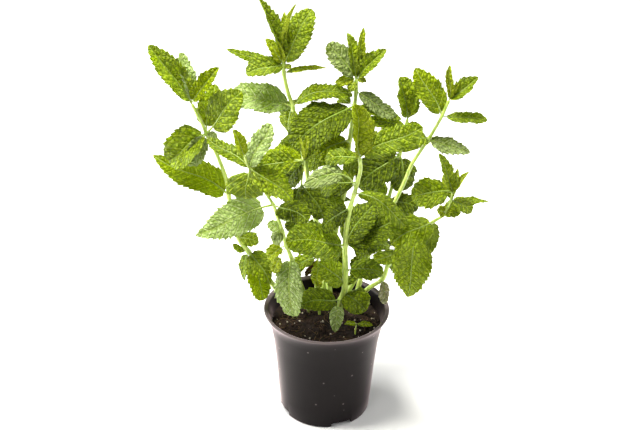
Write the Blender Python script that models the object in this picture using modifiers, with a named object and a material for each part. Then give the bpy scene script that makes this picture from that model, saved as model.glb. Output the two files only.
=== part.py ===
# A potted moroccan mint: a thin black nursery pot filled with peat, in which eleven leafy shoots are rooted.
# The pot stands on z = 0 a little off the origin, which is the middle of the whole outline seen from above,
# and -Y is the side that faces the viewer.
# Sizes are in millimetres here, and the objects are in metres.

import math

import bmesh
import bpy
from mathutils import Vector

MM = 0.001

# Everything is drawn about the pot's axis, and then moved here
POT_AXIS = Vector((7, -6, 0))

# Pot: profiles are (radius, height) points, each list going upwards
OUTER_WALL = [(37.2, 0), (37.9, 1.5), (41.4, 43.5), (43.7, 65), (45.9, 78), (48.6, 89.4)]
LIP_EDGE = [(52.2, 95.6), (52.5, 96.4), (52.2, 97)]
INNER_WALL = [(36.9, 6.2), (40.2, 43.5), (42.5, 65), (44.7, 78), (47.2, 90.2), (49.7, 96)]
FOOT_RING_INNER = 35.3
FLOOR_UNDERSIDE = 5.0
POT_STEPS = 40
# each notch in the foot ring is cut by a block: its size across the wall, along it, and its height
NOTCH = Vector((8, 18.5, 4.4))
NOTCH_ANGLES = [-67, 23, 113, 203]
DRAIN_RADIUS = 4.0
DRAIN_CIRCLE = 27.0
DRAIN_CUT_TO = 12.0

# Soil
SOIL_GAP = 0.3
SOIL_LEVEL = 84.0
SOIL_CROWN = 2.0
SOIL_RINGS = 2
HOLE_GAP = 0.35
HOLE_CUT_TO = 94.0
HOLE_STEPS = 12

# Stems stand upright in the soil between these heights
STEM_BOTTOM = 72.0
STEM_UPRIGHT_TO = 88.0

# Leaf blades
BLADE_THICKNESS = 0.8
STALK_HALF_WIDTH = 0.65
TIP_HALF_WIDTH = 0.55
TOOTH_DEPTH = 0.13
WAVE_HEIGHT = 0.035
WAVE_TURNS = 15
# how steeply a blade widens from its stalk and narrows to its tip
BLADE_RISE = 0.5
BLADE_FALL = 0.7
# a leaf longer than this many mm is drawn with that many rows of teeth
ROWS_BY_LENGTH = [(38, 6), (22, 5), (12, 3), (0, 2)]
# a shorter stalk than this many mm is all inside the stem and gets no row of its own
SHORTEST_STALK = 4

# What a join leaves behind: skins round less than this many cubic mm, and faces flat within this angle
CRUMB = 1.0
FLAT_WITHIN = 1.0

# The viewer's eye, along whose lines of sight a shoot leans back, so that it looks the same from there
EYE = Vector((-6.9, -1056.6, 793.8))
LEAN_HEIGHT = 200.0

# The shoots. "thick" is the stem's thickness at its foot and its tip, "foot" the place where it leaves the
# soil, "lean" how far back it leans in every 200 mm of height, and "path" its points before it leans. A leaf
# is (path point it grows from, where 0 is the foot, then its reach in x, y and z from there to the tip,
# width, upward bend, fold along the rib in degrees, turn about the rib in degrees, length of its stalk).
SHOOTS = {
    # leans furthest out to the left
    "shoot_far_left": dict(
        thick=(4.6, 2.4),
        foot=(-28, 4),
        lean=15,
        path=[
            (-48, 2, 122), (-65, -1, 151), (-73, -3, 166), (-79, -6, 200), (-80, -6, 206),
            (-81, -8, 220), (-86, -10, 238), (-91, -11, 252), (-96, -11, 263), (-100, -11, 274),
            (-107, -11, 289),
        ],
        leaves=[
            (11, -31, 6, 45, 24, 2, 25, -45, 3),
            (11, -8, 14, 36, 14, 2, 20, 5, 3),
            (11, 21, -4, 32, 16, 1, 20, 60, 3),
            (9, 6, 16, 35, 22, 3, 10, 5, 6),
            (9, 27, -6, 39, 30, 3, 5, 70, 9),
            (9, -30, -8, -20, 32, 3, 18, -45, 3),
            (9, 9, -3, -2, 8, 1, 0, 30, 1),
            (5, -59, 5, 33, 29, 3, 5, -40, 4),
            (5, 6, 10, 2, 6, 2, 0, 15, 2),
            (3, 17, -4, -3, 14, 2, 0, 35, 2),
            (2, -12, -4, 9, 7, -4, 10, -45, 2),
            (2, 19, -12, -24, 23, 4, 0, 20, 3),
            (2, 13, -12, -40, 21, 5, 0, 15, 4),
            (2, -5, -4, -26, 12, 2, 0, -5, 3),
            (9, -16, -10, -23, 18, 3, 0, -80, 3),
        ],
    ),
    # shorter, in front of the first
    "shoot_left": dict(
        thick=(4.2, 1.8),
        foot=(-15, 11),
        lean=-40,
        path=[
            (-30, -1, 146), (-34, -4, 159), (-37, -8, 175), (-41, -12, 191), (-44, -15, 203),
            (-49, -17, 213), (-62, -22, 239), (-66, -24, 251),
        ],
        leaves=[
            (8, -8, -3, 24, 11, 1, 20, -70, 1),
            (8, -1, 4, 9, 4, 0, 20, 0, 1),
            (7, 16, 4, 37, 19, 2, 10, 40, 2),
            (7, -35, 28, 12, 15, 2, 10, -20, 2),
            (7, 34, -10, -22, 23, 4, 0, 30, 2),
            (7, -3, -8, -23, 32, 4, 0, -5, 3),
            (5, -61, -18, -19, 30, 5, 5, -45, 9),
            (5, 28, -26, 1, 21, 4, 0, 25, 8),
            (3, -12, -3, 8, 11, 1, 0, -40, 2),
            (4, 10, 3, -6, 5, 1, 0, 40, 1),
            (3, -7, -4, -10, 12, 2, 0, -25, 1),
            (2, -15, -6, -9, 14, 2, 15, -25, 4),
            (2, -10, -5, -24, 11, 2, 0, -30, 11),
            (1, 3, -26, -41, 25, 8, 8, 25, 3),
        ],
    ),
    # reaches the highest
    "shoot_tallest": dict(
        thick=(4.8, 2.6),
        foot=(3, 18),
        lean=36,
        path=[
            (1, 18, 112), (-6, 17, 152), (-14, 18, 189), (-20, 19, 226), (-26, 19, 252), (-30, 19, 273),
            (-34, 18, 287), (-37, 17, 303), (-37, 17, 310), (-37, 17, 317),
        ],
        leaves=[
            (10, -19, 0, 47, 19, 1, 45, -50, 3),
            (10, 0, 8, 33, 8, 1, 30, 0, 2),
            (10, 6, -3, 45, 9, 1, 40, 20, 2),
            (9, 20, 8, 43, 25, 3, 5, 45, 3),
            (9, -14, 4, 20, 11, 1, 10, -35, 2),
            (9, -5, -4, 22, 7, 1, 20, -20, 2),
            (9, -29, -8, -4, 20, 2, 15, -35, 2),
            (9, -45, 10, 8, 10, -2, 0, -35, 4),
            (8, 33, 6, 3, 7, 2, 0, 15, 2),
            (9, 6, -4, -2, 6, 1, 0, 20, 1),
            (6, -51, 5, 8, 28, 4, 5, -35, 5),
            (6, -3, 7, -29, 28, 3, 0, -105, 2),
            (6, -16, 5, -5, 8, 2, 0, -40, 1),
            (6, 47, 10, 9, 17, 11, 0, 25, 4),
            (6, -5, 32, -14, 22, 4, 0, 0, 4),
            (9, 4, 24, 6, 16, 3, 0, 0, 3),
            (4, -10, 36, 7, 28, 4, 0, -15, 4),
            (3, 28, 38, -16, 26, 5, 0, 15, 4),
            (2, -20, 34, -12, 29, 5, 0, -20, 4),
            (3, 28, -4, -8, 24, 4, 0, 30, 3),
        ],
    ),
    # upright, behind the middle
    "shoot_back": dict(
        thick=(4.6, 2.6),
        foot=(-5, 26),
        lean=28,
        path=[
            (5, 26, 146), (10, 27, 179), (14, 28, 198), (16, 30, 239), (19, 32, 268), (20, 32, 281),
            (20, 33, 292),
        ],
        leaves=[
            (7, -23, 6, 27, 21, 2, 5, -40, 3),
            (7, -7, 8, 35, 14, 1, 30, -15, 2),
            (7, 5, 10, 39, 9, 1, 20, 50, 2),
            (7, 22, -4, 27, 16, 2, 20, 55, 3),
            (7, 5, 4, 20, 9, 1, 20, 0, 2),
            (7, -17, -4, -2, 10, 1, 0, -40, 2),
            (7, 8, -4, -1, 7, 1, 0, 20, 1),
            (6, 32, -10, -16, 16, -1, 0, 25, 3),
            (5, 38, -8, -5, 14, 1, 0, 15, 3),
            (5, -48, -29, -23, 39, 10, 0, -25, 5),
            (4, -27, -12, -10, 28, 5, 0, -25, 3),
            (5, -13, 23, -8, 11, 6, 0, -20, 4),
            (4, 22, 24, -8, 24, 6, 0, 0, 4),
            (3, -27, 22, -9, 28, 5, 0, -25, 3),
            (2, -8, 34, -28, 24, 5, 0, -85, 4),
            (7, -5, -8, -8, 9, 2, 0, -5, 3),
            (4, -41, 2, -26, 28, 4, 0, -35, 3),
            (3, 8, 4, 29, 14, 3, 0, 30, 3),
            (1, 8, -4, -28, 14, 3, 0, 85, 3),
        ],
    ),
    # the pale thick one in the middle
    "shoot_front": dict(
        thick=(5.0, 2.6),
        foot=(11, 7),
        lean=-38,
        path=[
            (12, 6, 101), (14, 4, 108), (15, 2, 118), (15, 0, 133), (14, -4, 160), (15, -9, 184),
            (17, -12, 200), (20, -14, 214), (22, -16, 225), (24, -19, 238), (23, -21, 250),
        ],
        leaves=[
            (11, -4, -6, 47, 26, 1, 40, -120, 2),
            (11, 10, 6, 22, 12, 1, 30, 20, 2),
            (11, 47, -4, 29, 23, 3, 5, 45, 4),
            (11, -27, 4, -5, 17, 3, 0, -25, 2),
            (8, -40, -8, 12, 18, 30, 0, -40, 22),
            (8, 42, -14, -22, 18, 9, 0, 20, 3),
            (5, 39, 8, 20, 32, 3, 5, 30, 5),
            (5, 26, -5, -1, 16, 4, 0, 20, 5),
            (5, -47, -22, 16, 32, 5, 0, -40, 4),
            (4, 31, -6, 3, 22, 5, 0, 25, 4),
            (3, -22, -6, 26, 23, 3, 0, -55, 3),
            (3, 10, 4, 8, 9, 1, 0, 20, 1),
            (1, -34, -26, 11, 23, 4, 8, -35, 8),
            (2, 19, -14, -7, 25, 5, 0, 25, 2),
            (1, -5, -37, -8, 12, 10, 0, 0, 18),
            (5, 22, 10, 34, 28, 4, 0, 20, 3),
            (5, 38, 16, -9, 16, 3, 0, 20, 3),
            (9, -29, 12, -12, 24, 4, 0, -35, 3),
            (7, -23, 10, -26, 21, 3, 0, -50, 3),
        ],
    ),
    # thin, left of the middle
    "shoot_slender": dict(
        thick=(2.4, 1.4),
        foot=(-6, 6),
        lean=-4,
        path=[
            (-14, 16, 143), (-19, 4, 187), (-22, -2, 214), (-20, -9, 240),
        ],
        leaves=[
            (4, -3, -2, 22, 5, 0, 20, -10, 1),
            (4, 2, 3, 20, 6, 0, 20, 10, 1),
            (4, 8, 0, 6, 7, 1, 10, 20, 1),
            (4, -42, -6, -3, 21, 1, 0, -35, 3),
            (4, -14, 4, -25, 19, 3, 0, -60, 3),
            (3, -4, -4, -10, 5, 1, 0, 0, 1),
            (3, 18, -12, -23, 24, 5, 0, 20, 3),
            (4, -33, 8, -2, 22, 3, 0, -30, 3),
            (3, -5, -14, -19, 22, 5, 0, 5, 3),
            (1, 24, 8, -10, 20, 3, 0, 30, 3),
            (2, -14, -4, -17, 18, 3, 0, -85, 3),
        ],
    ),
    # behind, leaning right
    "shoot_back_right": dict(
        thick=(4.2, 2.2),
        foot=(15, 26),
        lean=28,
        path=[
            (36, 28, 136), (49, 30, 184), (57, 32, 225), (61, 33, 251), (62, 33, 258),
        ],
        leaves=[
            (5, -7, 2, 35, 25, 1, 30, -45, 2),
            (5, 9, 6, 31, 17, 1, 25, 20, 2),
            (5, 8, -4, 12, 8, 1, 10, 30, 1),
            (4, 12, -6, 1, 9, 2, 0, 35, 2),
            (4, -12, 0, 0, 10, 1, 0, -20, 2),
            (3, -34, -16, -21, 32, 5, 0, -30, 3),
            (3, 3, -8, -30, 25, 4, 0, -5, 3),
            (2, 25, -6, -4, 18, 4, 0, 35, 3),
            (4, -32, -4, 4, 17, 3, 0, -20, 3),
            (3, 16, 22, -2, 22, 5, 0, 0, 3),
            (2, -19, 24, -6, 22, 5, 0, -20, 4),
            (1, 16, 34, -11, 20, 5, 0, 10, 4),
            (3, -27, 8, 0, 24, 3, 0, -30, 3),
            (2, 21, -4, -14, 26, 3, 0, 30, 3),
            (1, -16, -8, -13, 15, 3, 0, -75, 3),
        ],
    ),
    # leans furthest out to the right
    "shoot_far_right": dict(
        thick=(4.2, 2.2),
        foot=(24, 22),
        lean=20,
        path=[
            (32, 20, 129), (43, 18, 162), (59, 14, 205), (65, 12, 225), (70, 11, 236), (78, 9, 252),
            (83, 8, 263), (87, 7, 273), (92, 6, 288),
        ],
        leaves=[
            (8, -21, 8, 37, 24, 2, 5, -40, 3),
            (8, 36, 0, -1, 13, 0, 0, 20, 4),
            (9, -1, 3, 27, 8, 0, 30, -20, 1),
            (9, 21, 4, 18, 17, -2, 25, 35, 1),
            (9, 7, 6, 12, 7, 1, 10, 0, 1),
            (6, 33, -6, -8, 17, -1, 0, 25, 2),
            (6, -16, -10, 1, 16, 3, 0, -20, 2),
            (6, -4, 26, -20, 16, 4, 0, 0, 3),
            (2, 34, 14, -2, 22, 4, 0, 0, 4),
            (2, -19, -6, -24, 22, 3, 0, -20, 3),
        ],
    ),
    # the low one that hangs over the rim on the right
    "shoot_right_low": dict(
        thick=(4.4, 2.0),
        foot=(24, 11),
        lean=-56,
        path=[
            (33, 10, 108), (46, 6, 122), (50, 3, 138), (57, -2, 157), (70, -9, 175), (84, -14, 190),
            (92, -16, 198), (96, -18, 212), (97, -19, 220),
        ],
        leaves=[
            (9, -12, -4, 35, 11, 1, 20, -75, 1),
            (9, 3, 3, 19, 6, 1, 10, 10, 1),
            (9, 11, 0, 18, 5, 1, 10, 40, 1),
            (8, 3, -4, 24, 9, 1, 20, 105, 1),
            (8, 30, 0, -1, 10, 0, 0, 15, 2),
            (8, 16, -8, -7, 14, 3, 0, 15, 2),
            (9, -33, -6, -2, 26, 4, 0, -35, 5),
            (7, 12, -6, 5, 11, 3, 0, 35, 1),
            (7, -6, -4, 3, 6, 1, 0, 0, 1),
            (7, 8, -6, 16, 10, 1, 10, 75, 1),
            (6, -34, -12, -15, 28, 5, 0, -30, 3),
            (6, -1, 6, -33, 14, 4, 0, 0, 3),
            (5, -4, -9, -56, 33, 8, 0, -20, 4),
            (3, 7, 4, -4, 11, 1, 0, 45, 1),
            (2, 3, -8, -20, 10, 2, 20, 20, 2),
            (7, -7, -6, 7, 10, 2, 0, -55, 3),
            (8, -7, 4, 20, 7, 1, 0, -30, 3),
            (4, -18, 4, -16, 16, 3, 0, -100, 3),
        ],
    ),
    # a short side shoot inside the clump
    "shoot_inner": dict(
        thick=(2.2, 1.2),
        foot=(-14, 20),
        lean=0,
        path=[
            (-9, 16, 108), (-8, 8, 140), (-6, 5, 153),
        ],
        leaves=[
            (2, -27, -4, -11, 17, 3, 0, -20, 3),
            (2, 1, -6, -26, 12, 2, 0, 35, 2),
            (3, -12, -4, 1, 7, 1, 0, -10, 1),
            (2, -10, 2, -20, 7, 1, 0, -110, 2),
        ],
    ),
    # a pair of seed leaves at the front
    "seedling": dict(
        thick=(1.6, 1.0),
        foot=(24, -22),
        lean=0,
        path=[
            (25, -21, 95),
        ],
        leaves=[
            (1, -10, -2, 1, 6, 1, 0, -10, 1),
            (1, 13, -3, 1, 7, 1, 0, 10, 1),
        ],
    ),
}


def wall_radius(height):
    """Radius of the pot's inner wall at a height between its floor and its lip."""
    for (low_r, low_z), (high_r, high_z) in zip(INNER_WALL, INNER_WALL[1:]):
        if height <= high_z:
            return low_r + (high_r - low_r) * (height - low_z) / (high_z - low_z)
    return INNER_WALL[-1][0]


def make_material(name, colour, roughness):
    material = bpy.data.materials.new(name)
    material.use_nodes = True
    shader = material.node_tree.nodes["Principled BSDF"]
    shader.inputs["Base Color"].default_value = (*colour, 1)
    shader.inputs["Roughness"].default_value = roughness
    shader.inputs["Metallic"].default_value = 0
    material.diffuse_color = (*colour, 1)
    return material


def new_object(name, mesh, collection):
    obj = bpy.data.objects.new(name, mesh)
    collection.objects.link(obj)
    return obj


def new_collection(name, helper=False):
    collection = bpy.data.collections.new(name)
    collection.hide_render = helper
    bpy.context.scene.collection.children.link(collection)
    return collection


def helper_in(obj, collection):
    """Moves an object made by an operator into a collection of cutters or loose pieces."""
    for old in list(obj.users_collection):
        old.objects.unlink(obj)
    collection.objects.link(obj)
    obj.hide_render = True
    obj.display_type = "WIRE"


def apply_modifiers(obj):
    graph = bpy.context.evaluated_depsgraph_get()
    mesh = bpy.data.meshes.new_from_object(obj.evaluated_get(graph))
    obj.modifiers.clear()
    obj.data = mesh


def smooth(obj, degrees):
    bpy.ops.object.select_all(action="DESELECT")
    obj.select_set(True)
    bpy.context.view_layer.objects.active = obj
    bpy.ops.object.shade_smooth()
    obj.data.set_sharp_from_angle(angle=math.radians(degrees))


def turned(name, profile, collection):
    """A solid turned about Z from a profile that starts and ends on the axis."""
    points = [(radius * MM, 0, height * MM) for radius, height in profile]
    edges = [(i, i + 1) for i in range(len(points) - 1)]
    mesh = bpy.data.meshes.new(name)
    mesh.from_pydata(points, edges, [])
    obj = new_object(name, mesh, collection)
    screw = obj.modifiers.new("turn", "SCREW")
    screw.steps = POT_STEPS
    screw.render_steps = POT_STEPS
    screw.use_merge_vertices = True
    screw.merge_threshold = 0.00001
    return obj


def cut(obj, cutters):
    boolean = obj.modifiers.new("cut", "BOOLEAN")
    boolean.operation = "DIFFERENCE"
    boolean.operand_type = "COLLECTION"
    boolean.collection = cutters
    boolean.solver = "EXACT"


def cylinder_cutter(name, radius, bottom, top, x, y, collection):
    bpy.ops.mesh.primitive_cylinder_add(
        vertices=HOLE_STEPS,
        radius=radius * MM,
        depth=(top - bottom) * MM,
        location=(x * MM, y * MM, (top + bottom) / 2 * MM),
    )
    obj = bpy.context.object
    obj.name = name
    helper_in(obj, collection)


def make_pot(collection):
    floor = [(0, INNER_WALL[0][1])]
    foot = [(FOOT_RING_INNER, 0), (FOOT_RING_INNER, FLOOR_UNDERSIDE), (0, FLOOR_UNDERSIDE)]
    outside_down = list(reversed(OUTER_WALL + LIP_EDGE))
    pot = turned("pot", floor + INNER_WALL + outside_down + foot, collection)

    cutters = new_collection("pot cutters", helper=True)
    cylinder_cutter("drain middle", DRAIN_RADIUS, 0, DRAIN_CUT_TO, 0, 0, cutters)
    for angle in NOTCH_ANGLES:
        turn = math.radians(angle)
        x, y = DRAIN_CIRCLE * math.cos(turn), DRAIN_CIRCLE * math.sin(turn)
        cylinder_cutter("drain", DRAIN_RADIUS, 0, DRAIN_CUT_TO, x, y, cutters)
        # half of the notch's block lies below the table, so its top is the notch's top
        reach = OUTER_WALL[0][0] * MM
        bpy.ops.mesh.primitive_cube_add(
            size=1,
            location=(reach * math.cos(turn), reach * math.sin(turn), 0),
            rotation=(0, 0, turn),
        )
        notch = bpy.context.object
        notch.name = "notch"
        notch.scale = (NOTCH.x * MM, NOTCH.y * MM, 2 * NOTCH.z * MM)
        helper_in(notch, cutters)
    cut(pot, cutters)
    pot.data.materials.append(make_material("black plastic", (0.022, 0.019, 0.018), 0.42))
    return pot


def make_soil(collection):
    top_radius = wall_radius(SOIL_LEVEL) - SOIL_GAP
    profile = []
    for ring in range(SOIL_RINGS + 1):
        share = ring / SOIL_RINGS
        profile.append((top_radius * share, SOIL_LEVEL + SOIL_CROWN * (1 - share * share)))
    side = [(radius - SOIL_GAP, height) for radius, height in reversed(INNER_WALL) if height < SOIL_LEVEL]
    bottom = side[-1][1] + SOIL_GAP
    side[-1] = (side[-1][0], bottom)
    soil = turned("soil", profile + side + [(0, bottom)], collection)

    cutters = new_collection("stem holes", helper=True)
    for name, shoot in SHOOTS.items():
        x, y = shoot["foot"]
        radius = shoot["thick"][0] / 2 + HOLE_GAP
        cylinder_cutter("hole " + name, radius, STEM_BOTTOM - HOLE_GAP, HOLE_CUT_TO, x, y, cutters)
    cut(soil, cutters)
    soil.data.materials.append(make_material("peat", (0.045, 0.032, 0.024), 0.95))
    return soil


def lean_at(shoot, point):
    """How far back a shoot has leant at the height of one of its points."""
    return shoot["lean"] * (point.z - STEM_UPRIGHT_TO) / LEAN_HEIGHT


def moved_back(point, depth):
    """A point moved back along the line of sight by a depth in y."""
    away = point - EYE
    return EYE + away * (1 + depth / away.y)


def joints_of(shoot):
    """The points that leaves grow from, before the shoot leans: its foot and its path."""
    x, y = shoot["foot"]
    return [Vector((x, y, STEM_UPRIGHT_TO))] + [Vector(point) for point in shoot["path"]]


def stem_points(shoot):
    x, y = shoot["foot"]
    return [Vector((x, y, STEM_BOTTOM))] + [moved_back(p, lean_at(shoot, p)) for p in joints_of(shoot)]


def make_stem(name, shoot, collection):
    points = stem_points(shoot)
    lengths = [0]
    for before, after in zip(points, points[1:]):
        lengths.append(lengths[-1] + (after - before).length)
    at_foot, at_tip = shoot["thick"]

    curve = bpy.data.curves.new(name, "CURVE")
    curve.dimensions = "3D"
    curve.bevel_depth = at_foot / 2 * MM
    curve.bevel_resolution = 1
    curve.use_fill_caps = True
    spline = curve.splines.new("POLY")
    spline.points.add(len(points) - 1)
    for control, point, length in zip(spline.points, points, lengths):
        control.co = (*(point * MM), 1)
        control.radius = 1 + (at_tip / at_foot - 1) * length / lengths[-1]
    tube = new_object(name + " curve", curve, collection)

    graph = bpy.context.evaluated_depsgraph_get()
    mesh = bpy.data.meshes.new_from_object(tube.evaluated_get(graph))
    mesh.name = name
    shell = bmesh.new()
    shell.from_mesh(mesh)
    bmesh.ops.remove_doubles(shell, verts=shell.verts, dist=0.00001)
    bmesh.ops.recalc_face_normals(shell, faces=shell.faces)
    shell.to_mesh(mesh)
    shell.free()
    stem = new_object(name, mesh, collection)
    stem.matrix_world = tube.matrix_world
    bpy.data.objects.remove(tube)
    return stem


def leaf_axes(reach, turn):
    """The directions along the rib, out of the leaf's upper face and across the blade."""
    along = reach.normalized()
    top = (Vector((0, 0, 1)) - along * along.z).normalized()
    across = along.cross(top)
    angle = math.radians(turn)
    top = top * math.cos(angle) + across * math.sin(angle)
    return along, top, along.cross(top)


def blade_outline(share):
    """Half width of a blade as a share of its greatest, from the stalk's end (0) to the tip (1)."""
    widest = BLADE_RISE / (BLADE_RISE + BLADE_FALL)
    peak = widest**BLADE_RISE * (1 - widest) ** BLADE_FALL
    return share**BLADE_RISE * (1 - share) ** BLADE_FALL / peak


def leaf_rows(length, stalk):
    """The rows across a leaf, as (share of the whole reach, share of the blade alone)."""
    teeth = next(rows for over, rows in ROWS_BY_LENGTH if length > over)
    start = stalk / length
    rows = [(0, 0)]
    if stalk >= SHORTEST_STALK:
        rows.append((start, 0))
    for row in range(1, teeth + 1):
        rows.append((start + (1 - start) * row / teeth, row / teeth))
    return rows


def make_leaf(name, joint, depth, leaf, phase, collection):
    """One blade with its stalk: a grid laid along the bent rib, with toothed and waved edges."""
    _, x, y, z, width, bend, fold, turn, stalk = leaf
    root = moved_back(joint, depth)
    reach = moved_back(joint + Vector((x, y, z)), depth) - root
    along, top, across = leaf_axes(reach, turn)
    rows = leaf_rows(reach.length, stalk)
    fold = math.radians(fold)

    blade = bmesh.new()
    bmesh.ops.create_grid(blade, x_segments=2, y_segments=len(rows) - 1, size=1)
    for vertex in blade.verts:
        side = round(vertex.co.x)
        row = round((vertex.co.y + 1) / 2 * (len(rows) - 1))
        share, blade_share = rows[row]
        rib = root + reach * share + top * bend * 4 * share * (1 - share)
        tangent = (reach + top * bend * 4 * (1 - 2 * share)).normalized()
        normal = across.cross(tangent)
        if blade_share > 0:
            tooth = 1 if row % 2 else 1 - TOOTH_DEPTH
            half = max(TIP_HALF_WIDTH, width / 2 * blade_outline(blade_share) * tooth)
            wave = WAVE_HEIGHT * width * math.sin(WAVE_TURNS * blade_share + phase)
        else:
            half = STALK_HALF_WIDTH
            wave = 0
        if blade_share == 1:
            wave = 0
        lift = abs(side) * half * math.sin(fold) + side * wave
        vertex.co = (rib + across * side * half * math.cos(fold) + normal * lift) * MM
    bmesh.ops.triangulate(blade, faces=blade.faces)
    bmesh.ops.recalc_face_normals(blade, faces=blade.faces)
    mesh = bpy.data.meshes.new(name)
    blade.to_mesh(mesh)
    blade.free()

    obj = new_object(name, mesh, collection)
    solidify = obj.modifiers.new("thickness", "SOLIDIFY")
    solidify.thickness = BLADE_THICKNESS * MM
    solidify.offset = 0
    return obj


def skin_of(start):
    """All the faces that hang together with this one, edge to edge."""
    found = {start}
    waiting = [start]
    while waiting:
        for edge in waiting.pop().edges:
            for face in edge.link_faces:
                if face not in found:
                    found.add(face)
                    waiting.append(face)
    return found


def enclosed_volume(faces):
    total = 0
    for face in faces:
        corners = [vertex.co for vertex in face.verts]
        for second, third in zip(corners[1:], corners[2:]):
            total += corners[0].dot(second.cross(third)) / 6
    return total


def keep_one_skin(mesh):
    """Takes away crumbs, and the inner skins where blades that overlap at a joint shut in a small hollow."""
    shell = bmesh.new()
    shell.from_mesh(mesh)
    left = set(shell.faces)
    doomed = []
    while left:
        skin = skin_of(next(iter(left)))
        left -= skin
        if enclosed_volume(skin) < CRUMB * MM**3:
            doomed += skin
    bmesh.ops.delete(shell, geom=doomed, context="FACES")
    bmesh.ops.dissolve_limit(
        shell, angle_limit=math.radians(FLAT_WITHIN), verts=shell.verts, edges=shell.edges
    )
    shell.to_mesh(mesh)
    shell.free()


def make_shoot(name, shoot, collection):
    """A stem with all its leaves joined on, as one solid."""
    stem = make_stem(name, shoot, collection)
    joints = joints_of(shoot)
    leaves = new_collection(name + " leaves", helper=True)
    for number, leaf in enumerate(shoot["leaves"]):
        joint = joints[leaf[0]]
        make_leaf(f"{name} leaf {number}", joint, lean_at(shoot, joint), leaf, number, leaves)
    join = stem.modifiers.new("leaves", "BOOLEAN")
    join.operation = "UNION"
    join.operand_type = "COLLECTION"
    join.collection = leaves
    join.solver = "MANIFOLD"
    apply_modifiers(stem)
    keep_one_skin(stem.data)
    for leaf in list(leaves.objects):
        bpy.data.objects.remove(leaf)
    bpy.data.collections.remove(leaves)
    stem.data.materials.clear()
    stem.data.materials.append(make_material(name + " green", (0.22, 0.36, 0.06), 0.55))
    return stem


def main():
    for obj in list(bpy.data.objects):
        bpy.data.objects.remove(obj)
    plant = new_collection("potted mint")
    smooth(make_pot(plant), 30)
    make_soil(plant)
    for name, shoot in SHOOTS.items():
        smooth(make_shoot(name, shoot, plant), 40)

    base = bpy.data.objects.new("pot axis", None)
    plant.objects.link(base)
    base.location = POT_AXIS * MM
    for obj in bpy.data.objects:
        if obj is not base:
            obj.parent = base


main()
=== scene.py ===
# A moroccan mint in a black nursery pot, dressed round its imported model. Metres, +Z up, -Y faces the viewer.
import math
import random

import bpy
import numpy as np
from mathutils import Matrix, Vector


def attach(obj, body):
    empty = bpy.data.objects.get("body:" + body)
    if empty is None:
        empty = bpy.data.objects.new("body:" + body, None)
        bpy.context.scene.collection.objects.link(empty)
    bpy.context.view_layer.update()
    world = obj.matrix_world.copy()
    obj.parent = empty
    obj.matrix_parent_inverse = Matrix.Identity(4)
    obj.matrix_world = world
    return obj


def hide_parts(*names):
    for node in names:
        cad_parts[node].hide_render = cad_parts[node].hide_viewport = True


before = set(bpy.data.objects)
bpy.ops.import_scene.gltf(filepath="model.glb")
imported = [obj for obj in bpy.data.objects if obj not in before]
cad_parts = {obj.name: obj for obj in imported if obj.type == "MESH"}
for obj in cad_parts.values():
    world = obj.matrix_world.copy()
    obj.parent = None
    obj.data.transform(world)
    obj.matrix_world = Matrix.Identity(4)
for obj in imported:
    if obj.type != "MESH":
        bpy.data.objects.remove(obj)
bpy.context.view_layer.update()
print("frame loaded:", ", ".join(sorted(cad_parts)))

mm = 0.001
potAxis = Vector((7, -6, 0))  # mm; the shoots, the soil and the pot are drawn about this axis


# small tools used by every piece
def linear(hexColour):
    parts = [int(hexColour[i : i + 2], 16) / 255 for i in (1, 3, 5)]
    return (*[c / 12.92 if c <= 0.04045 else ((c + 0.055) / 1.055) ** 2.4 for c in parts], 1)


def setInputs(tree, node, inputs):  # values and links, by name or as a list in the node's own order
    for socket, value in inputs.items() if isinstance(inputs, dict) else enumerate(inputs):
        if isinstance(value, bpy.types.NodeSocket):
            tree.links.new(value, node.inputs[socket])
        else:
            node.inputs[socket].default_value = value


def addNode(tree, kind, inputs, output=0, **settings):  # gives the new node's output of that number or name
    node = tree.nodes.new("ShaderNode" + kind)
    for name, value in settings.items():
        setattr(node, name, value)
    setInputs(tree, node, inputs)
    return node.outputs[output]


def newMaterial(name):
    material = bpy.data.materials.new(name)
    material.use_nodes = True
    tree = material.node_tree
    return material, tree, tree.nodes["Principled BSDF"]


def toMode(mode, action=None):  # and with SELECT or DESELECT, all of the mesh
    bpy.ops.object.mode_set(mode=mode)
    if action:
        bpy.ops.mesh.select_all(action=action)


def deselectAll():
    if bpy.context.object and bpy.context.object.mode != "OBJECT":
        toMode("OBJECT")
    bpy.ops.object.select_all(action="DESELECT")


def makeActive(obj):
    deselectAll()
    obj.select_set(True)
    bpy.context.view_layer.objects.active = obj


def added(name):  # what an operator has just added
    obj = bpy.context.object
    obj.name = obj.data.name = name
    return obj


def copyOf(model, name):  # with a mesh of its own
    copy = model.copy()
    copy.data = model.data.copy()
    copy.name = copy.data.name = name
    bpy.context.scene.collection.objects.link(copy)
    return copy


def settle(obj):  # the object to the origin, its place into its mesh
    makeActive(obj)
    bpy.ops.object.transform_apply(location=True, rotation=True, scale=True)
    return obj


def applyAll(obj):
    makeActive(obj)
    for modifier in list(obj.modifiers):
        bpy.ops.object.modifier_apply(modifier=modifier.name)


def joined(objects, name):
    deselectAll()
    for obj in objects:
        obj.select_set(True)
    bpy.context.view_layer.objects.active = objects[0]
    bpy.ops.object.join()
    return added(name)


def pointsOf(obj):
    points = np.empty(len(obj.data.vertices) * 3)
    obj.data.vertices.foreach_get("co", points)
    return points.reshape(-1, 3)


def setPoints(obj, points):
    obj.data.vertices.foreach_set("co", np.asarray(points, float).ravel())
    obj.data.update()


def setAttribute(obj, name, values, kind="FLOAT"):
    attribute = obj.data.attributes.new(name, kind, "POINT")
    attribute.data.foreach_set("vector" if kind == "FLOAT_VECTOR" else "value", np.ravel(values))


def smoothStep(x, low, high):
    share = np.clip((x - low) / (high - low), 0, 1)
    return share * share * (3 - 2 * share)


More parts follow.
